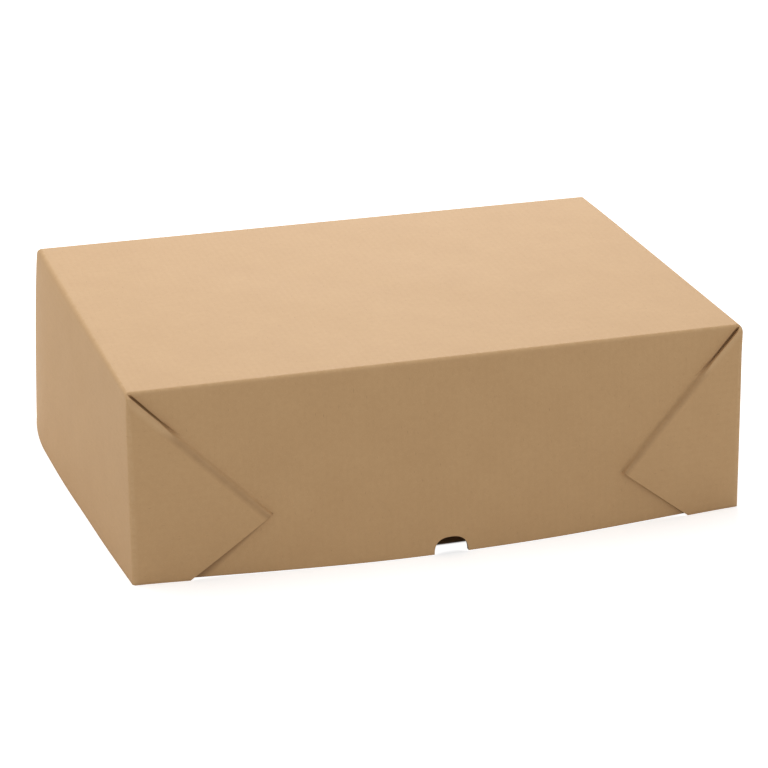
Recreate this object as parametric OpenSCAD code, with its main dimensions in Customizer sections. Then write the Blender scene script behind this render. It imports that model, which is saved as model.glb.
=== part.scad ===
// Two-piece telescope storage box for A4 papers, folded from brown corrugated board.
// A full-depth lid stands over a full-depth base tray. Both are the same kind of folded sheet:
// one panel, two long walls and two end walls, held by glue flaps that wrap each upright corner
// from the end wall onto the outside of the long wall.
// Origin: on the floor, under the middle of the box. +X runs along the long walls, the front
// wall faces -Y, and +Z is up.

/* [Box] */
// Length of the top panel, along X
box_l = 305; // [240:5:400]
// Width of the top panel, along Y
box_w = 215; // [160:5:300]
// Height of the closed box
box_h = 96; // [80:1:150]
// Thickness of the board
board = 2; // [1.5:0.1:3]

/* [Fit of the base in the lid] */
// Gap between the base and the lid at each side
side_gap = 1.5; // [0.8:0.1:4]
// Gap between the base's rim and the underside of the lid
top_gap = 0.6; // [0.4:0.1:3]

/* [Folds] */
// Outside radius of every fold
fold_r = 1.8; // [1.5:0.1:4]

/* [Glue flaps] */
// Distance of a flap's tip from the upright corner
flap_reach = 64.5; // [45:0.5:75]
// Distance of a flap's tip from the free edge
flap_tip_up = 29.5; // [20:0.5:40]
// Length of a flap along the free edge
flap_foot = 27; // [15:1:40]
// How much further a flap reaches than the free edge of the wall it is glued to
flap_drop = 0.5; // [0.2:0.1:3]

/* [Diagonal creases] */
// Width of the crease where it has opened, next to the corner
slit_w = 1.6; // [1:0.1:2.5]
// Depth of the crease where it has opened
slit_deep = 1.1; // [0.5:0.1:1.3]
// How far below the panel the crease has closed again
slit_end = 25; // [15:1:35]
// Width of the closed part of the crease
seam_w = 0.7; // [0.5:0.1:1.5]
// Depth of the closed part of the crease
seam_deep = 0.35; // [0.2:0.05:0.8]

/* [Thumb notches] */
// Width of a notch at the free edge
notch_w = 17; // [12:0.5:30]
// Height of a notch above the free edge
notch_h = 8; // [5:0.5:9]
// How square a notch's arch is, where 2 is a round arch
notch_power = 2.5; // [2:0.1:4]

/* [Shape that the lid has taken] */
// How far the middle of each long wall's free edge has bowed out
long_bow = 12.5; // [0:0.5:16]
// How far each end wall's free edge has swung out towards the back
end_swing = 10; // [0:0.5:14]
// How far that edge comes back in at the back corners
end_tuck = 5.5; // [0:0.5:8]
// How far it has moved out at both corners
end_lean = 1.2; // [0:0.1:3]
// How far the middle of it has bowed out
end_bow = 1.4; // [0:0.1:6]
// How far the front wall's free edge has slipped sideways, towards +X
front_slip = 1; // [0:0.2:1]

/* [Hidden] */

// Colour of the uncoated kraft face
kraft = [0.80, 0.66, 0.50];

// The base's panel leaves room for the lid's board, its own glue flaps and the gaps
base_l = box_l - 2 * (board + side_gap);
base_w = box_w - 2 * (2 * board + side_gap);
base_h = box_h - board - top_gap;

// Inside radius of the upright corners
inner_r = 0.6;
// Part of a fold's inset that the radius of an upright corner loses beside it
corner_loss = 0.8;
// Shortest stretch of flap left beside a corner's fold, and the slope of its cut edge
flap_min = 0.2;
cut_slope = 0.15;
// How far the notches' cutter runs past the lid
cut_past = 10;

// How quickly the bow of a long wall dies out towards its corners, and how soon below the fold an
// end wall swings out
bow_power = 1.4;
swing_power = 0.53;
// Where the back part of an end wall starts to come back in, from -1 at the front to 1 at the back
tuck_start = 0.55;

// Number of flat pieces along each stretch of a quarter of the outline
end_parts = 6;
corner_parts = 4;
flap_parts = 3;
panel_parts = 8;
fold_parts = 4;
upper_parts = 7;
lower_parts = 4;
notch_parts = 24;

// Keeps a value between two limits
function limit(v, low, high) = max(low, min(high, v));

// Runs from 0 on the panel's face to 1 just past the fold
function past_fold(depth) = limit((depth - fold_r / 2) / fold_r, 0, 1);

// Runs from 1 where the crease has opened to 0 where it has closed
function opened(depth) = limit((slit_end - depth) / (slit_end - fold_r), 0, 1);

// Width and depth of the diagonal crease at a depth below the panel
function crease_w(depth) = seam_w + (slit_w - seam_w) * opened(depth);
function crease_deep(depth) =
    (seam_deep + (slit_deep - seam_deep) * opened(depth)) * past_fold(depth);

// Distance from the corner to the flap's cut edge, in a tray of height h
function flap_edge(depth, h) =
    let (tip = h - flap_tip_up)
    depth < tip
        ? max(fold_r + flap_min, flap_reach * depth / tip)
        : flap_reach - (flap_reach - flap_foot) * (depth - tip) / flap_tip_up;

// Points of an upright corner's round fold
function corner_arc(x, y, r) =
    [for (i = [0:corner_parts]) let (a = 90 * i / corner_parts)
        [x - r + r * cos(a), y - r + r * sin(a)]];

// A quarter of the outside outline, from the middle of an end wall to the middle of a long wall.
// The glue flap stands one board proud of the long wall, up to its cut edge.
function outer_quarter(l, w, h, inset, depth) =
    let (
        x = l / 2 - inset,
        y = w / 2 - inset,
        y_flap = y + board * past_fold(depth),
        r = fold_r - inset * corner_loss,
        edge = flap_edge(depth, h),
        panel_x = x - edge - crease_w(depth)
    )
    concat(
        [for (i = [0:end_parts - 1]) [x, (y_flap - r) * i / end_parts]],
        corner_arc(x, y_flap, r),
        [for (i = [1:flap_parts]) [x - r - (edge - r) * i / flap_parts, y_flap]],
        [[x - edge - cut_slope, y - crease_deep(depth)]],
        [for (i = [0:panel_parts - 1]) [panel_x * (1 - i / panel_parts), y]]
    );

// A quarter of the inside outline, with as many points as the outside one
function inner_quarter(l, w) =
    let (
        x = l / 2 - board,
        y = w / 2 - board,
        run = flap_parts + 1 + panel_parts
    )
    concat(
        [for (i = [0:end_parts - 1]) [x, (y - inner_r) * i / end_parts]],
        corner_arc(x, y, inner_r),
        [for (i = [1:run]) [(x - inner_r) * (1 - i / (run + 1)), y]]
    );

// Mirrors a quarter into the whole outline
function whole(q) =
    let (n = len(q), y_mid = q[n - 1][1])
    concat(
        q,
        [[0, y_mid]],
        [for (i = [n - 1:-1:0]) [-q[i][0], q[i][1]]],
        [for (i = [1:n - 1]) [-q[i][0], -q[i][1]]],
        [[0, -y_mid]],
        [for (i = [n - 1:-1:1]) [q[i][0], -q[i][1]]]
    );

// Swings the walls out from the fold to the free edge.
// sag holds the bow of the long walls, the swing, tuck, lean and bow of the end walls, and the
// sideways slip of the front wall.
function settled(p, depth, l, w, h, sag) =
    let (
        open = limit(depth / h, 0, 1),
        u = limit(2 * p[0] / l, -1, 1),
        v = limit(2 * p[1] / w, -1, 1),
        tucked = pow(max(0, (v - tuck_start) / (1 - tuck_start)), 2),
        long_out = sag[0] * pow(1 - u * u, bow_power) * open,
        end_share = sag[1] * (1 + v) / 2 - sag[2] * tucked + sag[3] + sag[4] * (1 - v * v),
        end_out = end_share * pow(open, swing_power),
        slip = sag[5] * max(0, -v) * open
    )
    [p[0] * (1 + 2 * end_out / l) + slip, p[1] * (1 + 2 * long_out / w), depth];

// Number of points in an outline, and the number of them in a quarter that stand on the end wall
// or on a glue flap
quarter_points = end_parts + corner_parts + 1 + flap_parts + 1 + panel_parts;
ring_points = 4 * quarter_points;
outer_flap_points = end_parts + corner_parts + 1 + flap_parts;
inner_flap_points = end_parts + corner_parts + 1;

// Place of a point counted from the nearest end wall's middle
function from_end(i) =
    let (half = 2 * quarter_points, k = i % half)
    min(k, half - k);

// The long wall's free edge is flap_drop short of the flaps
function edge_depth(depth, h, i, flap_points) =
    from_end(i) < flap_points ? depth : min(depth, h - flap_drop);

// An open tray with its panel on the floor and its walls standing up
module tray(l, w, h, sag) {
    tip = h - flap_tip_up;
    folds = [for (i = [0:fold_parts]) let (a = 90 * i / fold_parts)
        [fold_r * (1 - sin(a)), fold_r * (1 - cos(a))]];
    uppers = [for (i = [1:upper_parts]) [0, fold_r + (tip - fold_r) * i / upper_parts]];
    lowers = [for (i = [1:lower_parts]) [0, tip + flap_tip_up * i / lower_parts]];
    outer_levels = concat(folds, uppers, lowers);
    inner_levels = concat([board], [for (level = concat(uppers, lowers)) level[1]]);

    outer = [for (level = outer_levels)
        let (ring = whole(outer_quarter(l, w, h, level[0], level[1])))
        for (i = [0:ring_points - 1])
            settled(ring[i], edge_depth(level[1], h, i, outer_flap_points), l, w, h, sag)];
    inner_ring = whole(inner_quarter(l, w));
    inner = [for (depth = inner_levels)
        for (i = [0:ring_points - 1])
            settled(inner_ring[i], edge_depth(depth, h, i, inner_flap_points), l, w, h, sag)];
    middles = [[0, 0, 0], [0, 0, board]];

    n_out = len(outer_levels);
    n_in = len(inner_levels);
    first_in = n_out * ring_points;
    middle_out = first_in + n_in * ring_points;
    middle_in = middle_out + 1;
    function at(start, level, i) = start + level * ring_points + i % ring_points;

    outer_skin = [for (k = [0:n_out - 2], i = [0:ring_points - 1])
        each [[at(0, k, i), at(0, k + 1, i), at(0, k + 1, i + 1)],
              [at(0, k, i), at(0, k + 1, i + 1), at(0, k, i + 1)]]];
    inner_skin = [for (k = [0:n_in - 2], i = [0:ring_points - 1])
        each [[at(first_in, k, i), at(first_in, k + 1, i + 1), at(first_in, k + 1, i)],
              [at(first_in, k, i), at(first_in, k, i + 1), at(first_in, k + 1, i + 1)]]];
    rim = [for (i = [0:ring_points - 1])
        each [[at(0, n_out - 1, i), at(first_in, n_in - 1, i), at(first_in, n_in - 1, i + 1)],
              [at(0, n_out - 1, i), at(first_in, n_in - 1, i + 1), at(0, n_out - 1, i + 1)]]];
    panel_out = [for (i = [0:ring_points - 1]) [middle_out, at(0, 0, i), at(0, 0, i + 1)]];
    panel_in = [for (i = [0:ring_points - 1])
        [middle_in, at(first_in, 0, i + 1), at(first_in, 0, i)]];

    polyhedron(
        points = concat(outer, inner, middles),
        faces = concat(outer_skin, inner_skin, rim, panel_out, panel_in),
        convexity = 6
    );
}

// Cutter for the thumb notches in both long walls of the lid
module thumb_notches() {
    arch = [for (i = [0:notch_parts]) let (a = 180 * i / notch_parts)
        [notch_w / 2 * sign(cos(a)) * pow(abs(cos(a)), 2 / notch_power),
         flap_drop + notch_h * pow(sin(a), 2 / notch_power)]];
    foot = [[-notch_w / 2, -cut_past], [notch_w / 2, -cut_past]];
    rotate([90, 0, 0])
        linear_extrude(height = box_w + 2 * long_bow + 2 * cut_past, center = true)
            polygon(concat(arch, foot));
}

// The tray that holds the papers, open upwards
module base() {
    color(kraft)
        tray(base_l, base_w, base_h, [0, 0, 0, 0, 0, 0]);
}

// The tray that stands over the base, open downwards
module lid() {
    color(kraft)
        difference() {
            translate([0, 0, box_h])
                mirror([0, 0, 1])
                    tray(box_l, box_w, box_h,
                        [long_bow, end_swing, end_tuck, end_lean, end_bow, front_slip]);
            thumb_notches();
        }
}

base();
lid();
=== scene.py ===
"""A closed kraft storage box: a full-depth lid over a base tray, each folded from corrugated board."""
import math

import bpy
import numpy as np
from mathutils import Matrix, Vector


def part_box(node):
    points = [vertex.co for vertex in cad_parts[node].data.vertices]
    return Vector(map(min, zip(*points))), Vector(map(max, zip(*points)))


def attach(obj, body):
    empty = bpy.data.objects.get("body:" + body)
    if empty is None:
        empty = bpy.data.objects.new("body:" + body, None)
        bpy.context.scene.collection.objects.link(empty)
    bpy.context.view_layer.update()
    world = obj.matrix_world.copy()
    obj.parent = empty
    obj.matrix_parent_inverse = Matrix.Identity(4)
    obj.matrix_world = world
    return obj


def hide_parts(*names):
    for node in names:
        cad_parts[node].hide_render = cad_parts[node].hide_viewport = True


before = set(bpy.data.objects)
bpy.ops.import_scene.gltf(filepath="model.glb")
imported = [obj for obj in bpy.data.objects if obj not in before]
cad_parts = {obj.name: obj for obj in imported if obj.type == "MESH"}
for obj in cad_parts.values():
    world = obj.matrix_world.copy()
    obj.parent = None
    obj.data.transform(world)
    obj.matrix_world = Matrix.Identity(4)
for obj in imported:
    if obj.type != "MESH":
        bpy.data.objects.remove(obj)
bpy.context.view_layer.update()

MM = 0.001
# Less than any real distance, for comparing depths
TINY = 0.01 * MM

# Sizes of the board and its folds, the same as in the part's source
BOX_L = 305 * MM
BOX_W = 215 * MM
BOARD = 2 * MM
FOLD_R = 1.8 * MM
INNER_R = 0.6 * MM
SIDE_GAP = 1.5 * MM
FLAP_DROP = 0.5 * MM
FLAP_MIN = 0.2 * MM
NOTCH_W = 17 * MM
NOTCH_H = 8 * MM
# How square the notch's arch is: 2 is a round arch
NOTCH_POWER = 2.5

# An upright corner is sharper beside the panel than lower down
CORNER_TOP_R = 0.5 * MM
CORNER_GROWS = 14 * MM

# The corners of a tray, as signs of x and y
CORNERS = [(1, 1), (-1, 1), (-1, -1), (1, -1)]
# For each glue flap: distance of the tip from the corner and from the free edge, and length along
# the free edge
FLAP_REACH = {(1, 1): 64 * MM, (-1, 1): 65 * MM, (-1, -1): 66.2 * MM, (1, -1): 63.1 * MM}
FLAP_TIP_UP = {(1, 1): 29.5 * MM, (-1, 1): 29 * MM, (-1, -1): 29.5 * MM, (1, -1): 28 * MM}
FLAP_FOOT = {(1, 1): 26 * MM, (-1, 1): 28 * MM, (-1, -1): 27 * MM, (1, -1): 28 * MM}

# The diagonal crease has opened into a slit next to the panel
SLIT_W = 1.6 * MM
SLIT_DEEP = 1.4 * MM
SLIT_UNDER = 1.2 * MM
SLIT_END = 24 * MM
# How much faster the crease turns into an open edge than the slit grows
OPENS_FAST = 1.6
# Where the crease closes, as shares of the slit's end
CLOSES = (0.8, 1.1)
# Distance from each crease, into the flap, of the band that is paler beside the slit and darker
# where the crease has closed, as painted shade of the crease with the darker colour of its squeezed
# liner
CREASE_BAND_AT = {(1, 1): 1.2 * MM, (-1, 1): 0.8 * MM, (-1, -1): 1.8 * MM, (1, -1): 0.6 * MM}
# Below its tip the flap has a plain cut edge with a thin gap under it
CUT_GAP = 0.7 * MM
CUT_DEEP = 0.3 * MM
CUT_UNDER = 1.2 * MM
# Height over which the rounded crease turns into the cut edge, past the flap's tip
TIP_TURN = 1.2 * MM
# Strength of the painted shade in the gap under a plain cut edge, where that of the slit is 1
CUT_SHADE = 0.25
# How loose each flap's cut edge is: it scales the gap under the flap and the painted shade beside
# it. It grows from the first share at the tip to the second at the free edge.
FLAP_LOOSE = {(1, 1): 1.0, (-1, 1): 0.8, (-1, -1): 1.7, (1, -1): 0.3}
LOOSE_GROWS = (0.25, 1.3)
# Room that the rounded crease takes on the flap and on the wall, and that a cut edge takes on the
# flap
CREASE_ON_FLAP = 2.4 * MM
CREASE_ON_WALL = 3.4 * MM
CUT_ON_FLAP = 0.1 * MM
# The crease gets sharper over this height above the flap's tip, down to this share of its width
TIP_SHARPENS = 12 * MM
TIP_WIDTH = 0.3

# Width of the band at the middle of a long wall whose columns follow the thumb notch, and the
# height of the rows that bend round it
NOTCH_BAND = 20 * MM
NOTCH_ROWS = 20 * MM

# Waves that the sheet has taken: the most that a wall stands in, and the mean depth by which a panel
# sags in its middle. The rates are in radians a metre.
WALL_WAVE = 0.5 * MM
WAVE_START = 20 * MM
PANEL_SAG = 0.6 * MM
WAVE_RATES = (41, 57, 73)

# Points along each stretch of a quarter of the outline, and rows up the walls
END_POINTS = 26
ARC_POINTS = 7
FLAP_POINTS = 14
RUN_POINTS = 34
BAND_POINTS = 6
ARCH_POINTS = 12
FOLD_ROWS = 7
UPPER_ROWS = 30
LOWER_ROWS = 20
PANEL_RINGS = 18
# How much closer the rows lie near the panel
ROW_POWER = 1.4
# The inside's wall columns start at least this far from the corner
INSIDE_START = 4 * MM
# Share of the way to the panel's edge at which its first ring lies
PANEL_START = 0.03
# Edges bent by more degrees than this are shaded as sharp
SHARP_ANGLE = 38


class Tray:
    """Sizes of one folded sheet, in metres. Depth is measured from the panel along the walls."""

    def __init__(self, node, length, width, bent, upside_down):
        self.node = node
        self.length = length
        self.width = width
        self.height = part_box(node)[1].z
        self.bent = bent
        self.upside_down = upside_down
        self.tips = {corner: self.height - up for corner, up in FLAP_TIP_UP.items()}
        self.first_tip = min(self.tips.values())


LID = Tray("lid", BOX_L, BOX_W, bent=1, upside_down=True)
BASE = Tray(
    "base", BOX_L - 2 * (BOARD + SIDE_GAP), BOX_W - 2 * (2 * BOARD + SIDE_GAP),
    bent=0, upside_down=False,
)

# How far the lid's free edges have moved: the bow of the long walls, the swing, tuck, lean and bow
# of the end walls, and the front wall's slip to one side
LONG_BOW = 12.5 * MM
END_SWING = 10 * MM
END_TUCK = 5.5 * MM
END_LEAN = 1.2 * MM
END_BOW = 1.4 * MM
FRONT_SLIP = 1 * MM
BOW_POWER = 1.4
SWING_POWER = 0.53
TUCK_START = 0.55


def limit(value, low, high):
    return np.minimum(np.maximum(value, low), high)


def blend(a, b, share):
    return a + (b - a) * share


def smooth_step(value, low, high):
    share = limit((value - low) / (high - low), 0, 1)
    return share * share * (3 - 2 * share)


def past_fold(depth):
    """0 on the panel's face, 1 just past the fold."""
    return float(limit((depth - FOLD_R / 2) / FOLD_R, 0, 1))


def opened(depth):
    """1 where the diagonal crease has opened, 0 where it has closed."""
    return float(limit((SLIT_END - depth) / (SLIT_END - FOLD_R), 0, 1)) ** 0.5


def corner_radius(depth, inset):
    """Radius of an upright corner at a depth, smaller where the fold draws it in."""
    grown = limit(depth / CORNER_GROWS, 0, 1)
    return float(CORNER_TOP_R + (FOLD_R - CORNER_TOP_R) * grown) * (1 - 0.5 * inset / FOLD_R)


def flap_edge(tray, depth, corner):
    """Distance from the corner to the glue flap's edge."""
    reach, foot, tip = FLAP_REACH[corner], FLAP_FOOT[corner], tray.tips[corner]
    if depth < tip:
        return reach * depth / tip
    return reach - (reach - foot) * (depth - tip) / FLAP_TIP_UP[corner]


def looseness(loose, below_tip, tip_up):
    """How loose a flap's cut edge is, at a distance below the flap's tip."""
    return loose * blend(*LOOSE_GROWS, limit(below_tip / tip_up, 0, 1))


def notch_height(x):
    """Height of the thumb notch above the free edge, at a distance x from the wall's middle."""
    share = np.minimum(np.abs(x) / (NOTCH_W / 2), 1)
    return NOTCH_H * (1 - share ** NOTCH_POWER) ** (1 / NOTCH_POWER)


def wall_columns(start):
    """Distances from the middle of a long wall, from the end of the crease to the middle."""
    side = NOTCH_W / 2
    run = np.linspace(start, NOTCH_BAND, RUN_POINTS, endpoint=False)
    band = np.linspace(NOTCH_BAND, side + TINY, BAND_POINTS)
    turn = np.linspace(math.pi / 2, 0, ARCH_POINTS, endpoint=False)
    return np.concatenate([run, band, (side - TINY) * np.sin(turn) ** (2 / NOTCH_POWER)])


def corner_arc(x, y, radius):
    """A quarter circle round an upright corner, from the end wall's side to the long wall's."""
    a = np.linspace(0, math.pi / 2, ARC_POINTS)
    return np.column_stack([x - radius + radius * np.cos(a), y - radius + radius * np.sin(a)])


# Kinds of point in an outline. The first points of the cut edge belong to the flap, the rest to
# the wall under it.
END, FLAP, CUT, WALL = range(4)
CUT_POINTS = 7
QUARTER_KINDS = np.array(
    [END] * (END_POINTS + ARC_POINTS) + [FLAP] * FLAP_POINTS + [CUT] * CUT_POINTS
    + [WALL] * (RUN_POINTS + BAND_POINTS + ARCH_POINTS)
)
CUT_START = END_POINTS + ARC_POINTS + FLAP_POINTS
FLAP_SIDE = CUT_START + 4


def open_profile(gap, deep, under, rise):
    """A flap's cut edge over a slit: distances past the edge, and heights above the wall."""
    return np.array([
        [0.00 * MM, rise - 0.10 * MM],
        [-0.03 * MM, rise * 0.62],
        [-0.04 * MM, rise * 0.30],
        [-0.02 * MM, rise * 0.08],
        [under, -deep * 0.8],
        [-gap * 0.7, -deep],
        [-gap * 0.95, -deep * 0.15],
    ])


def crease_profile(rise, width):
    """A closed, rounded crease between the flap and the wall."""
    return np.array([
        [1.9 * MM, rise * 1.00],
        [1.1 * MM, rise * 0.95],
        [0.4 * MM, rise * 0.80],
        [-0.3 * MM, rise * 0.54],
        [-1.1 * MM, rise * 0.24],
        [-1.9 * MM, rise * 0.06],
        [-2.8 * MM, 0],
    ]) * (width, 1)


def flap_section(tray, depth, corner):
    """Section across a flap's edge, and the room that it takes on the flap and on the wall."""
    turned = past_fold(depth)
    rise = BOARD * turned
    tip = tray.tips[corner]
    loose = looseness(FLAP_LOOSE[corner], depth - tip, FLAP_TIP_UP[corner])
    cut_share = float(smooth_step(depth, tip, tip + TIP_TURN))
    slit_share = opened(depth) * (1 - cut_share)
    open_share = max(min(1, slit_share * OPENS_FAST), cut_share)
    gap = blend(CUT_GAP * loose, SLIT_W, slit_share)
    deep = blend(CUT_DEEP * loose, SLIT_DEEP, slit_share) * turned
    under = blend(CUT_UNDER * loose, SLIT_UNDER, slit_share) * turned
    crease_width = blend(1, TIP_WIDTH, float(smooth_step(depth, tip - TIP_SHARPENS, tip)))
    closed = crease_profile(rise, crease_width)
    profile = blend(closed, open_profile(gap, deep, under, rise), open_share)
    on_flap = CREASE_ON_FLAP * (1 - open_share) + CUT_ON_FLAP
    on_wall = blend(CREASE_ON_WALL, gap, open_share)
    return profile, on_flap, on_wall


def outer_quarter(tray, inset, depth, corner):
    """Outside outline from the middle of an end wall to the middle of a long wall."""
    x = tray.length / 2 - inset
    y = tray.width / 2 - inset
    rise = BOARD * past_fold(depth)
    radius = corner_radius(depth, inset)
    profile, before, after = flap_section(tray, depth, corner)
    room = x - radius - FLAP_MIN
    edge = min(x - flap_edge(tray, depth, corner), room - before)
    end = np.column_stack([
        np.full(END_POINTS, x),
        np.linspace(0, y + rise - radius, END_POINTS, endpoint=False),
    ])
    flap_x = np.linspace(x - radius, edge + before, FLAP_POINTS + 1)[1:]
    flap = np.column_stack([flap_x, np.full(FLAP_POINTS, y + rise)])
    columns = wall_columns(edge - after)
    wall = np.column_stack([columns, np.full(len(columns), y)])
    return np.concatenate([end, corner_arc(x, y + rise, radius), flap, profile + (edge, y), wall])


def inner_quarter(tray, depth, corner):
    """Inside outline, with as many points as the outside one."""
    x = tray.length / 2 - BOARD
    y = tray.width / 2 - BOARD
    crease = max(flap_edge(tray, depth, corner), INSIDE_START)
    columns = wall_columns(tray.length / 2 - crease - SLIT_W)
    behind = np.linspace(x - INNER_R, columns[0], FLAP_POINTS + CUT_POINTS + 2)[1:-1]
    end = np.column_stack([
        np.full(END_POINTS, x),
        np.linspace(0, y - INNER_R, END_POINTS, endpoint=False),
    ])
    wall_x = np.concatenate([behind, columns])
    wall = np.column_stack([wall_x, np.full(len(wall_x), y)])
    return np.concatenate([end, corner_arc(x, y, INNER_R), wall])


def whole(quarter_for):
    """Joins four quarters into one outline, anticlockwise from above."""
    parts = []
    for index, corner in enumerate(CORNERS):
        quarter = quarter_for(corner)
        full = np.concatenate([quarter, [[0.0, quarter[-1][1]]]]) * corner
        parts.append(full[::-1][:-1] if index % 2 else full[:-1])
    return np.concatenate(parts)


def whole_list(values, middle):
    """Repeats a quarter's list round the outline, in the order that whole() uses."""
    full = np.concatenate([values, [middle]])
    return np.concatenate([full[::-1][:-1] if i % 2 else full[:-1] for i in range(len(CORNERS))])


KINDS = whole_list(QUARTER_KINDS, WALL)
ORDER = whole_list(np.arange(len(QUARTER_KINDS)), len(QUARTER_KINDS))
RING = len(KINDS)
ON_FLAP = (KINDS == END) | (KINDS == FLAP) | ((KINDS == CUT) & (ORDER < FLAP_SIDE))


def wave(a, b, seed):
    """Slow uneven waves between 0 and 1."""
    first, second, third = WAVE_RATES
    total = np.sin(a * first + seed) + np.sin(b * second + 1.7 * seed)
    total = total + np.sin((a + b) * third + 2.9 * seed)
    return 0.5 + total / 6


def settled(tray, points, depths):
    """Swings the walls out from the fold to the free edge, and adds the sheet's slight waves."""
    share = limit(depths / tray.height, 0, 1)
    u = limit(2 * points[:, 0] / tray.length, -1, 1)
    v = limit(2 * points[:, 1] / tray.width, -1, 1)
    on_end = (KINDS == END)
    long_out = LONG_BOW * (1 - u ** 2) ** BOW_POWER * share * tray.bent
    tucked = np.maximum(0, (v - TUCK_START) / (1 - TUCK_START)) ** 2
    end_share = END_SWING * (1 + v) / 2 - END_TUCK * tucked + END_LEAN + END_BOW * (1 - v ** 2)
    end_out = end_share * share ** SWING_POWER * tray.bent
    slip = FRONT_SLIP * np.maximum(0, -v) * share * tray.bent
    clear = smooth_step(depths, FOLD_R, WAVE_START)
    long_wave = WALL_WAVE * clear * (1 - u ** 2) * wave(points[:, 0], depths, 1 + np.sign(v))
    end_wave = WALL_WAVE * clear * (1 - v ** 2) * wave(points[:, 1], depths, 4 + np.sign(u)) * on_end
    x = points[:, 0] * (1 + 2 * (end_out - end_wave) / tray.length) + slip
    y = points[:, 1] * (1 + 2 * (long_out - long_wave) / tray.width)
    return np.column_stack([x, y, depths])


def row_depths(tray, depth, edge):
    """Depth of each point in a row: rows near the free edge bend to follow it."""
    start = tray.height - NOTCH_ROWS
    if depth <= start:
        return np.full(len(edge), depth)
    return start + (depth - start) * (edge - start) / (tray.height - start)


def skin_row(tray, ring, depth, flap_side):
    """One row of a skin: where its points are, and where they lie on the folded but unbent sheet."""
    drop = np.where(flap_side, 0, FLAP_DROP)
    if tray is LID:
        drop = drop + np.where(flap_side, 0, notch_height(ring[:, 0]))
    depths = row_depths(tray, depth, tray.height - drop)
    return settled(tray, ring, depths), np.column_stack([ring, depths])


def panel_rows(tray, row):
    """Rows across a panel, from near its middle out to its edge."""
    place, flat = row
    rows = []
    for share in np.sin(np.linspace(PANEL_START, 1, PANEL_RINGS + 1)[:-1] * math.pi / 2):
        ring = place * (share, share, 1)
        u, v = 2 * ring[:, 0] / tray.length, 2 * ring[:, 1] / tray.width
        ring[:, 2] += PANEL_SAG * (1 - u ** 2) * (1 - v ** 2) * (0.5 + wave(ring[:, 0], ring[:, 1], 3))
        rows.append((ring, flat * (share, share, 1)))
    return rows


def skin_rows(tray):
    """The rows of the outside and inside skins, from the middle of the panel to the free edge."""
    turn = np.linspace(0, math.pi / 2, FOLD_ROWS)
    folds = [(FOLD_R * (1 - math.sin(a)), FOLD_R * (1 - math.cos(a))) for a in turn]
    top_share = np.linspace(0, 1, UPPER_ROWS + 1)[1:] ** ROW_POWER
    uppers = [(0, FOLD_R + (tray.first_tip - FOLD_R) * s) for s in top_share]
    lowers = [(0, d) for d in np.linspace(tray.first_tip, tray.height, LOWER_ROWS + 1)[1:]]
    outer = []
    for inset, depth in folds + uppers + lowers:
        ring = whole(lambda corner: outer_quarter(tray, inset, depth, corner))
        outer.append(skin_row(tray, ring, depth, ON_FLAP))
    inner = []
    for inset, depth in [(0, BOARD)] + uppers + lowers:
        ring = whole(lambda corner: inner_quarter(tray, depth, corner))
        inner.append(skin_row(tray, ring, depth, KINDS == END))
    return panel_rows(tray, outer[0]) + outer, panel_rows(tray, inner[0]) + inner


def skin_faces(rows, start):
    """Quads between neighbouring rows, facing out of the outline."""
    level, place = np.meshgrid(np.arange(rows - 1), np.arange(RING), indexing="ij")
    a = start + level * RING + place
    b = start + level * RING + (place + 1) % RING
    return np.stack([a, a + RING, b + RING, b], axis=-1).reshape(-1, 4).tolist()


def sheet_coordinates(tray, flat, side):
    """Where points lie on the unfolded sheet, in metres, with the flutes along its second axis.

    The flutes run along Y over the panel, so they stand upright in the long walls and lie level
    in the end walls and the glue flaps."""
    x, y, depth = np.abs(flat[:, 0]), np.abs(flat[:, 1]), flat[:, 2]
    on_panel = depth < (BOARD + TINY if side else TINY)
    from_end = y + np.where(KINDS == END, 0, tray.length / 2 - x)
    end_wall = np.column_stack([tray.length / 2 + depth, from_end])
    long_wall = np.column_stack([x, tray.width / 2 + depth])
    on_wall = np.where(ON_FLAP[:, None], end_wall, long_wall)
    place = np.where(on_panel[:, None], np.column_stack([x, y]), on_wall)
    signs = np.where(flat[:, :2] < 0, -1, 1)
    return np.column_stack([place * signs, np.full(len(flat), side)])


def by_corner(sizes, flat):
    """One size for each point, from the corner on its side."""
    return np.array([sizes[tuple(c)] for c in np.where(flat[:, :2] < 0, -1, 1).tolist()])


def edge_distances(tray, flat):
    """Distances, in metres, from the band beside the diagonal crease (positive on the flap), the
    folds and the free edge."""
    x, y, depth = np.abs(flat[:, 0]), np.abs(flat[:, 1]), flat[:, 2]
    from_corner = tray.length / 2 - x
    tip = by_corner(tray.tips, flat)
    from_crease = (by_corner(FLAP_REACH, flat) * depth / tip - from_corner) * math.sqrt(0.5)
    from_crease = from_crease - by_corner(CREASE_BAND_AT, flat)
    from_crease = np.where((depth > tip) & ~ON_FLAP, 1, from_crease)
    from_crease = np.where(KINDS == END, 1, from_crease)
    to_side = np.where(KINDS == END, tray.width / 2 + BOARD - y, np.where(ON_FLAP, from_corner, 1))
    on_panel = np.minimum(tray.length / 2 - x, tray.width / 2 - y)
    from_fold = np.where(depth < TINY, on_panel, np.minimum(to_side, depth))
    return np.column_stack([from_crease, np.maximum(from_fold, 0), tray.height - depth])


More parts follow.
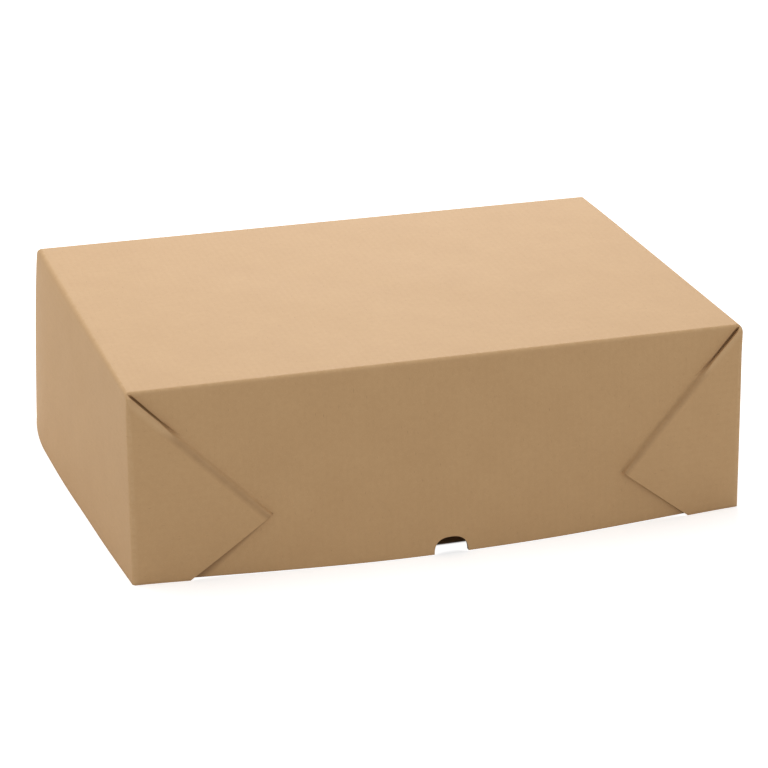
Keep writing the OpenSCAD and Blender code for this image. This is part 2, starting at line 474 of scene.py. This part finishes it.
def past_cut(tray, flat):
    """Distance on a long wall, in metres, from the lower cut edge of the flap over it, widened for a
    looser flap, for the painted shade beside that edge.
    """
    reach = by_corner(FLAP_REACH, flat)
    slope = (reach - by_corner(FLAP_FOOT, flat)) / by_corner(FLAP_TIP_UP, flat)
    below_tip = flat[:, 2] - by_corner(tray.tips, flat)
    beyond = tray.length / 2 - np.abs(flat[:, 0]) - reach + slope * below_tip
    across = beyond / np.hypot(1, slope) + 2 * np.maximum(0, -below_tip)
    loose = looseness(by_corner(FLAP_LOOSE, flat), below_tip, by_corner(FLAP_TIP_UP, flat))
    return np.where(ON_FLAP, 1, across / loose)


def cut_places(rows, inner_rows):
    """Place across the board's thickness: 0 at the outside face, 1 at the inside."""
    on_cut = (KINDS == CUT) & ON_FLAP
    across = np.where(on_cut, (ORDER - CUT_START) / (FLAP_SIDE - 1 - CUT_START), 0.0)
    outer = np.tile(across, rows)
    outer[-RING:] = 0
    return np.concatenate([outer, np.ones(inner_rows * RING), np.zeros(2)])


def row_depth(rows):
    """The greatest depth in each row."""
    return np.array([row[1][:, 2].max() for row in rows])


def gap_shades(tray, outer, inner_rows):
    """How much painted shade each point takes from lying in a gap at a flap's edge, from 0 to 1."""
    in_gap = (KINDS == CUT) & (ORDER > CUT_START)
    depths = row_depth(outer)
    slit = np.array([opened(depth) * past_fold(depth) for depth in depths])
    cut = smooth_step(depths, tray.first_tip, tray.first_tip + 3 * TIP_TURN) * CUT_SHADE
    loose = by_corner(FLAP_LOOSE, outer[-1][1])
    shades = np.maximum(np.outer(slit, in_gap), np.outer(cut, in_gap * loose))
    return np.concatenate([shades.ravel(), np.zeros(inner_rows * RING + 2)])


def closed_shares(outer, inner_rows):
    """0 at the height of the open part of the crease, 1 where it has closed."""
    start, end = CLOSES
    shares = np.repeat(smooth_step(row_depth(outer), SLIT_END * start, SLIT_END * end), RING)
    return np.concatenate([shares, np.ones(inner_rows * RING + 2)])


def add_object(name, data):
    thing = bpy.data.objects.new(name, data)
    bpy.context.scene.collection.objects.link(thing)
    return thing


def add_attribute(mesh, name, kind, values):
    attribute = mesh.attributes.new(name, kind, "POINT")
    field = "vector" if kind == "FLOAT_VECTOR" else "value"
    attribute.data.foreach_set(field, np.ascontiguousarray(values, dtype=np.float32).ravel())


def tray_faces(n_out, n_in):
    """Faces of a tray: outside skin, inside skin, both panel middles, then the rim."""
    inner_start = n_out * RING
    middle = inner_start + n_in * RING
    skin = skin_faces(n_out, 0)
    inside = [f[::-1] for f in skin_faces(n_in, inner_start)]
    after = [(i + 1) % RING for i in range(RING)]
    fans = [(middle, i, after[i]) for i in range(RING)]
    fans += [(middle + 1, inner_start + after[i], inner_start + i) for i in range(RING)]
    last_out = (n_out - 1) * RING
    last_in = inner_start + (n_in - 1) * RING
    rim = [(last_out + i, last_in + i, last_in + after[i], last_out + after[i]) for i in range(RING)]
    return skin + inside + fans + rim


def cut_face_marks(tray, outer, n_faces):
    """1 for each face that shows the board's cut edge, 0 for the others."""
    on_cut = (KINDS == CUT) & ON_FLAP
    below_tips = row_depth(outer)[:-1] > tray.first_tip + 2 * TIP_TURN
    marks = np.zeros(n_faces, np.int32)
    marks[:len(below_tips) * RING] = np.outer(below_tips, on_cut & np.roll(on_cut, -1)).ravel()
    marks[-RING:] = 1
    return marks


def add_places(mesh, tray, outer, inner):
    """Adds what the materials need to know of each point's place on the sheet."""
    n_out, n_in = len(outer), len(inner)
    sheet = [sheet_coordinates(tray, row[1], 0) for row in outer]
    sheet += [sheet_coordinates(tray, row[1], 1) for row in inner] + [[[0, 0, 0], [0, 0, 1]]]
    add_attribute(mesh, "sheet", "FLOAT_VECTOR", np.concatenate(sheet))
    near = [edge_distances(tray, row[1]) for row in outer]
    near += [edge_distances(tray, row[1]) * (0, 0, 1) + (1, 1, 0) for row in inner]
    add_attribute(mesh, "near_edges", "FLOAT_VECTOR", np.concatenate(near + [[[1, 1, 1]] * 2]))
    beyond = [past_cut(tray, row[1]) for row in outer]
    add_attribute(mesh, "past_cut", "FLOAT", np.concatenate(beyond + [np.ones(n_in * RING + 2)]))
    add_attribute(mesh, "cut_place", "FLOAT", cut_places(n_out, n_in))
    add_attribute(mesh, "gap_shade", "FLOAT", gap_shades(tray, outer, n_in))
    add_attribute(mesh, "closed", "FLOAT", closed_shares(outer, n_in))


def build_tray(tray, name, materials):
    outer, inner = skin_rows(tray)
    middles = [[0, 0, outer[0][0][:, 2].max()], [0, 0, inner[0][0][:, 2].max()]]
    points = np.concatenate([row[0] for row in outer + inner] + [middles])
    faces = tray_faces(len(outer), len(inner))
    if tray.upside_down:
        points[:, 2] = tray.height - points[:, 2]
        faces = [tuple(f)[::-1] for f in faces]

    mesh = bpy.data.meshes.new(name)
    mesh.from_pydata(points.tolist(), [], faces)
    for material in materials:
        mesh.materials.append(material)
    mesh.polygons.foreach_set("material_index", cut_face_marks(tray, outer, len(faces)))
    mesh.polygons.foreach_set("use_smooth", np.ones(len(faces), bool))
    mesh.update()
    mesh.set_sharp_from_angle(angle=math.radians(SHARP_ANGLE))
    add_places(mesh, tray, outer, inner)
    return add_object(name, mesh)


class Nodes:
    """Short calls for building one node material."""

    def __init__(self, tree, output):
        self.tree = tree
        self.tree.nodes.clear()
        self.output = self.add(output)

    def add(self, kind, **settings):
        node = self.tree.nodes.new(kind)
        for key, value in settings.items():
            setattr(node, key, value)
        return node

    def feed(self, socket, value):
        if isinstance(value, bpy.types.NodeSocket):
            self.tree.links.new(value, socket)
        elif value is not None:
            socket.default_value = value

    def attribute(self, name, output="Vector"):
        return self.add("ShaderNodeAttribute", attribute_name=name).outputs[output]

    def split(self, vector):
        node = self.add("ShaderNodeSeparateXYZ")
        self.feed(node.inputs[0], vector)
        return node.outputs

    def math(self, operation, a, b=None):
        node = self.add("ShaderNodeMath", operation=operation)
        self.feed(node.inputs[0], a)
        self.feed(node.inputs[1], b)
        return node.outputs[0]

    def stretch(self, vector, scale):
        node = self.add("ShaderNodeVectorMath", operation="MULTIPLY")
        self.feed(node.inputs[0], vector)
        self.feed(node.inputs[1], scale)
        return node.outputs[0]

    def noise(self, vector, scale, detail=2.0, roughness=0.5):
        node = self.add("ShaderNodeTexNoise")
        self.feed(node.inputs["Vector"], vector)
        node.inputs["Scale"].default_value = scale
        node.inputs["Detail"].default_value = detail
        node.inputs["Roughness"].default_value = roughness
        return node.outputs["Fac"]

    def remap(self, value, low, high, to_low=0.0, to_high=1.0):
        node = self.add("ShaderNodeMapRange")
        for socket, item in zip(node.inputs, (value, low, high, to_low, to_high)):
            self.feed(socket, item)
        return node.outputs[0]

    def mix(self, factor, a, b):
        node = self.add("ShaderNodeMix", data_type="RGBA")
        self.feed(node.inputs["Factor"], factor)
        colours = [s for s in node.inputs if s.type == "RGBA"]
        self.feed(colours[0], a)
        self.feed(colours[1], b)
        return [s for s in node.outputs if s.type == "RGBA"][0]

    def bump(self, height, distance, strength=1.0):
        node = self.add("ShaderNodeBump")
        node.inputs["Strength"].default_value = strength
        node.inputs["Distance"].default_value = distance
        self.feed(node.inputs["Height"], height)
        return node.outputs[0]


def new_material(name):
    material = bpy.data.materials.new(name)
    material.use_nodes = True
    return material, Nodes(material.node_tree, "ShaderNodeOutputMaterial")


def srgb(red, green, blue):
    """A colour written as 0 to 255 values, in the linear form that the shaders take."""
    def linear(c):
        c = c / 255
        return c / 12.92 if c <= 0.04045 else ((c + 0.055) / 1.055) ** 2.4
    return (linear(red), linear(green), linear(blue), 1)


KRAFT = srgb(199, 160, 113)
KRAFT_DARK = srgb(184, 144, 98)
KRAFT_PALE = srgb(214, 179, 135)
FIBRE_DARK = srgb(130, 95, 60)
# Painted shade for the closed creases, the free edge and the wall beside a flap
SHADE_DARK = srgb(140, 104, 66)
# Painted shade inside the slits and in the gaps under the flaps' cut edges
GAP_SHADE_DARK = srgb(156, 117, 76)
# Painted shade in the open hollows between the flutes and the liners of a cut edge
HOLLOW_SHADE_DARK = srgb(70, 47, 28)
HOLLOW_SHADE_PALE = srgb(104, 74, 46)

FLUTE_PITCH = 3.3 * MM
# Across the board's thickness, as shares of it: how far the fluted layer swings, and where its own
# half thickness and the inner faces of the liners lie, each from full to gone
FLUTE_SWING = 0.27
FLUTE_HALF = (0.07, 0.13)
LINER_INSIDE = (0.33, 0.39)

# Sizes of the patterns in the paper, as repeats in a metre. Fibres have one for each axis of the
# sheet.
CLOUD = 38
PATCH = 120
MOTTLE = 330
RAGGED = 1100
FIBRE = (4200, 900, 1)
CROSS_FIBRE = (800, 3800, 1)
HAIR = (2600, 300, 1)

# Bands along edges, of rubbing and of painted shade: the distance up to which each is full, the
# distance at which it is gone, and its strength
CREASE_SHADE_BAND = (0.4 * MM, 2.6 * MM, 0.45)
FOLD_WEAR = (0.2 * MM, 2.2 * MM, 0.35)
RIM_WEAR_AND_SHADE = (0, 1.5 * MM, 0.4)
FLAP_SHADE = (0.2 * MM, 2.3 * MM, 1.0)

# Layers of the paper's colour: pattern, where it starts and where it is full, strength and tint
PAPER_LAYERS = [
    ("cloud", 0.3, 0.7, 0.28, KRAFT_DARK),
    ("mottle", 0.4, 0.8, 0.25, KRAFT_DARK),
    ("fibre", 0.5, 0.8, 0.5, KRAFT_PALE),
    ("cross_fibre", 0.55, 0.85, 0.45, KRAFT_DARK),
    ("hair", 0.72, 0.80, 0.45, FIBRE_DARK),
    ("flute", -1, 1, 0.05, KRAFT_DARK),
]
# Shares of the patterns in the height of the paper's face
RELIEF_SHARES = {"flute": 0.25, "fibre": 0.45, "cross_fibre": 0.25, "mottle": 0.5}
FACE_RELIEF = 0.07 * MM
FACE_BUMP = 0.7
FACE_ROUGHNESS = (0.66, 0.8)
EDGE_RELIEF = 0.25 * MM
EDGE_BUMP = 0.8
EDGE_ROUGHNESS = 0.85


def flute_wave(n, across):
    """1 on the crest of a flute, -1 halfway to the next one."""
    return n.math("SINE", n.math("MULTIPLY", across, 2 * math.pi / FLUTE_PITCH))


def wear_and_shade(n, distance, wear):
    """Share of an edge band at a distance from its edge; the bands are rubbed folds and painted shade.
    """
    full, gone, strength = wear
    return n.remap(distance, full, gone, strength, 0)


def paper_colour(n, paper):
    """Cloudy kraft with pale and dark fibres, and a trace of the flutes behind the liner."""
    colour = KRAFT
    for pattern, start, full, strength, tint in PAPER_LAYERS:
        colour = n.mix(n.remap(paper[pattern], start, full, 0, strength), colour, tint)
    return colour


def wear_and_shade_colour(n, paper, colour):
    """Paints shade into the closed creases, the slits and gaps at the flaps' edges and the wall beside a
    flap, darkens the free edge as squeezed board with painted shade, pales the rubbed folds and pales
    the creases beside the slits.
    """
    from_crease, from_fold, from_rim = n.split(n.attribute("near_edges"))
    patchy = n.remap(paper["patch"], 0.3, 0.7, 0.6, 1)
    # The band beside each crease: paler beside the slit, and painted shade where the crease has closed,
    # with the darker colour of its squeezed liner
    band = n.mix(n.attribute("closed", "Fac"), KRAFT_PALE, SHADE_DARK)
    near_crease = wear_and_shade(n, n.math("ABSOLUTE", from_crease), CREASE_SHADE_BAND)
    colour = n.mix(n.math("MULTIPLY", near_crease, patchy), colour, band)
    rubbed = n.math("MULTIPLY", wear_and_shade(n, from_fold, FOLD_WEAR), n.remap(paper["mottle"], 0.35, 0.65))
    colour = n.mix(rubbed, colour, KRAFT_PALE)
    # Darker along the free edge: squeezed board, with painted shade where the edge meets the floor
    crushed_and_shaded = n.math("MULTIPLY", wear_and_shade(n, from_rim, RIM_WEAR_AND_SHADE), patchy)
    colour = n.mix(crushed_and_shaded, colour, SHADE_DARK)
    # Painted shade on the wall beside each flap's lower cut edge
    colour = n.mix(wear_and_shade(n, n.attribute("past_cut", "Fac"), FLAP_SHADE), colour, SHADE_DARK)
    # Painted shade inside the slits and the gaps at the flaps' edges
    return n.mix(n.attribute("gap_shade", "Fac"), colour, GAP_SHADE_DARK)


def paper_relief(n, paper):
    """Height of the paper's face: flutes, fibres both ways, and mottle."""
    parts = [n.math("MULTIPLY", paper[pattern], share) for pattern, share in RELIEF_SHARES.items()]
    height = parts[0]
    for part in parts[1:]:
        height = n.math("ADD", height, part)
    return height


def kraft_face(name):
    """Uncoated kraft liner."""
    material, n = new_material(name)
    sheet = n.attribute("sheet")
    paper = {
        "cloud": n.noise(sheet, CLOUD, 3, 0.55),
        "patch": n.noise(sheet, PATCH, 3, 0.6),
        "mottle": n.noise(sheet, MOTTLE, 2, 0.5),
        "fibre": n.noise(n.stretch(sheet, FIBRE), 1, 3, 0.6),
        "cross_fibre": n.noise(n.stretch(sheet, CROSS_FIBRE), 1, 2, 0.6),
        "hair": n.noise(n.stretch(sheet, HAIR), 1, 1, 0.5),
        "flute": flute_wave(n, n.split(sheet)[0]),
    }
    shader = n.add("ShaderNodeBsdfPrincipled")
    n.feed(shader.inputs["Base Color"], wear_and_shade_colour(n, paper, paper_colour(n, paper)))
    n.feed(shader.inputs["Roughness"], n.remap(paper["fibre"], 0.2, 0.8, *FACE_ROUGHNESS))
    n.feed(shader.inputs["Normal"], n.bump(paper_relief(n, paper), FACE_RELIEF, FACE_BUMP))
    n.feed(n.output.inputs["Surface"], shader.outputs[0])
    return material


def board_edge(name):
    """The cut edge of the board: two liners with the fluted layer between them, and painted shade in the
    open hollows between them.
    """
    material, n = new_material(name)
    sheet = n.attribute("sheet")
    ragged = n.noise(sheet, RAGGED, 3, 0.6)
    place = n.math("SUBTRACT", n.attribute("cut_place", "Fac"), 0.5)
    swing = n.math("MULTIPLY", flute_wave(n, n.split(sheet)[0]), FLUTE_SWING)
    off_flute = n.math("ABSOLUTE", n.math("SUBTRACT", place, swing))
    on_flute = n.remap(off_flute, *FLUTE_HALF, 1, 0)
    on_liner = n.remap(n.math("ABSOLUTE", place), *LINER_INSIDE, 0, 1)
    paper = n.math("MAXIMUM", on_flute, on_liner)
    uneven = n.remap(ragged, 0.3, 0.7)
    # The open hollows between the flutes and the liners are painted dark as shade
    hollow_shade = n.mix(uneven, HOLLOW_SHADE_DARK, HOLLOW_SHADE_PALE)
    board = n.mix(uneven, KRAFT_DARK, KRAFT_PALE)
    # Painted shade inside the slits and the gaps at the flaps' edges
    colour = n.mix(n.attribute("gap_shade", "Fac"), n.mix(paper, hollow_shade, board), GAP_SHADE_DARK)
    relief = n.math("ADD", paper, n.math("MULTIPLY", ragged, 0.3))
    shader = n.add("ShaderNodeBsdfPrincipled")
    n.feed(shader.inputs["Base Color"], colour)
    shader.inputs["Roughness"].default_value = EDGE_ROUGHNESS
    n.feed(shader.inputs["Normal"], n.bump(relief, EDGE_RELIEF, EDGE_BUMP))
    n.feed(n.output.inputs["Surface"], shader.outputs[0])
    return material


# The camera, fitted to the box's outline in the photograph
CAMERA_AT = Vector((-380.0, -1243.3, 557.9)) * MM
CAMERA_AZIMUTH = math.radians(-17.16)
CAMERA_ELEVATION = math.radians(21.64)
IMAGE_SIZE = 768
FOCAL_PIXELS = 2729
SENSOR = 36


def make_camera():
    data = bpy.data.cameras.new("camera")
    data.sensor_width = SENSOR
    data.lens = SENSOR * FOCAL_PIXELS / IMAGE_SIZE
    data.clip_end = 50
    level = math.cos(CAMERA_ELEVATION)
    back = Vector((
        math.sin(CAMERA_AZIMUTH) * level,
        -math.cos(CAMERA_AZIMUTH) * level,
        math.sin(CAMERA_ELEVATION),
    ))
    right = Vector((0, 0, 1)).cross(back).normalized()
    up = back.cross(right)
    camera = add_object("camera", data)
    camera.matrix_world = Matrix.Translation(CAMERA_AT) @ Matrix((right, up, back)).transposed().to_4x4()
    bpy.context.scene.camera = camera


FLOOR_SIZE = 12
FLOOR_COLOUR = (0.88, 0.88, 0.88, 1)
FLOOR_CLOUD = (0.90, 0.90, 0.90, 1)
# Painted shade for the floor under the closed lid
COVERED_FLOOR_SHADE = (0.45, 0.30, 0.18, 1)
# Strength of the glow that lifts the floor to white, in the open and close beside the box
FLOOR_LIFT = 0.49
EDGE_LIFT = 0.95
# The floor that the closed lid covers isn't lifted to white and is painted a dark board brown as
# shade, so that the thumb notch shows a dark brown inside. How open the floor is, from 0 to 1 and as
# far up as this height, tells whether something stands over it.
COVER_HEIGHT = 110 * MM
# Openness from covered to not covered, and from close beside the box to out in the open
UNCOVERED = (0.3, 0.4)
OPEN_FLOOR = (0.3, 0.5)
# Half length and half width of the covered floor at the middle of its sides, and its soft border
DARK_X = 150 * MM
DARK_Y = 109.5 * MM
DARK_SOFT = 1.5 * MM


def seen_directly(n):
    """1 for what the camera sees, straight or in a gloss or through glass."""
    path = n.add("ShaderNodeLightPath")
    seen = n.math("MAXIMUM", path.outputs["Is Camera Ray"], path.outputs["Is Glossy Ray"])
    return n.math("MAXIMUM", seen, path.outputs["Is Transmission Ray"])


def past_cover(n, place):
    """0 on the floor inside the closed lid's walls, 1 outside them."""
    x, y, _ = n.split(place)
    x_share = n.math("DIVIDE", x, BOX_L / 2)
    bow = n.math("MULTIPLY", n.math("MULTIPLY", x_share, x_share), LONG_BOW)
    bowed = n.math("ADD", n.math("ABSOLUTE", y), bow)
    past_y = n.remap(bowed, DARK_Y - DARK_SOFT, DARK_Y)
    past_x = n.remap(n.math("ABSOLUTE", x), DARK_X - DARK_SOFT, DARK_X)
    return n.math("MAXIMUM", past_x, past_y)


def floor_material():
    """Pale floor that looks white and still takes the box's shadow, with painted dark brown shade where
    the closed lid covers it.
    """
    material, n = new_material("floor")
    place = n.add("ShaderNodeTexCoord").outputs["Object"]
    openness = n.add("ShaderNodeAmbientOcclusion", samples=8)
    openness.inputs["Distance"].default_value = COVER_HEIGHT
    uncovered = n.remap(openness.outputs["AO"], *UNCOVERED)
    outside = n.math("MAXIMUM", past_cover(n, place), uncovered)
    open_floor = n.mix(n.noise(place, 3), FLOOR_COLOUR, FLOOR_CLOUD)
    diffuse = n.add("ShaderNodeBsdfDiffuse")
    n.feed(diffuse.inputs["Color"], n.mix(outside, COVERED_FLOOR_SHADE, open_floor))
    lift = n.remap(openness.outputs["AO"], *OPEN_FLOOR, EDGE_LIFT, FLOOR_LIFT)
    glow = n.add("ShaderNodeEmission")
    seen = n.math("MULTIPLY", seen_directly(n), outside)
    n.feed(glow.inputs["Strength"], n.math("MULTIPLY", seen, lift))
    both = n.add("ShaderNodeAddShader")
    n.feed(both.inputs[0], diffuse.outputs[0])
    n.feed(both.inputs[1], glow.outputs[0])
    n.feed(n.output.inputs["Surface"], both.outputs[0])
    return material


def make_floor():
    half = FLOOR_SIZE / 2
    mesh = bpy.data.meshes.new("floor")
    corners = [(-half, -half, 0), (half, -half, 0), (half, half, 0), (-half, half, 0)]
    mesh.from_pydata(corners, [], [(0, 1, 2, 3)])
    mesh.materials.append(floor_material())
    add_object("floor", mesh)


WORLD_LIGHT = 0.588


def make_world():
    """Even soft light from all sides, which looks plain white."""
    world = bpy.data.worlds.new("studio")
    bpy.context.scene.world = world
    world.use_nodes = True
    n = Nodes(world.node_tree, "ShaderNodeOutputWorld")
    background = n.add("ShaderNodeBackground")
    background.inputs["Color"].default_value = (1, 1, 1, 1)
    n.feed(background.inputs["Strength"], n.remap(seen_directly(n), 0, 1, WORLD_LIGHT, 1))
    n.feed(n.output.inputs["Surface"], background.outputs[0])


# The two soft lamps: place and width in metres, and power in watts
LAMPS = {
    "key": ((-0.4, 0.35, 1.6), 1.2, 9.4),
    "back": ((0.6, 1.9, 0.9), 1.0, 23),
}
LAMPS_AIM = Vector((0, 0, 0.05))


def make_lamps():
    for name, (place, size, power) in LAMPS.items():
        data = bpy.data.lights.new(name, "AREA")
        data.shape = "DISK"
        data.size = size
        data.energy = power
        lamp = add_object(name, data)
        lamp.location = place
        lamp.rotation_euler = (LAMPS_AIM - Vector(place)).to_track_quat("-Z", "Y").to_euler()


def make_box():
    materials = [kraft_face("kraft_face"), board_edge("board_edge")]
    for tray in (LID, BASE):
        slot = tray.node + "_board"
        piece = build_tray(tray, slot, materials)
        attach(piece, tray.node)
        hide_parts(tray.node)


make_camera()
make_box()
make_floor()
make_world()
make_lamps()
bpy.context.scene.view_settings.view_transform = "Standard"
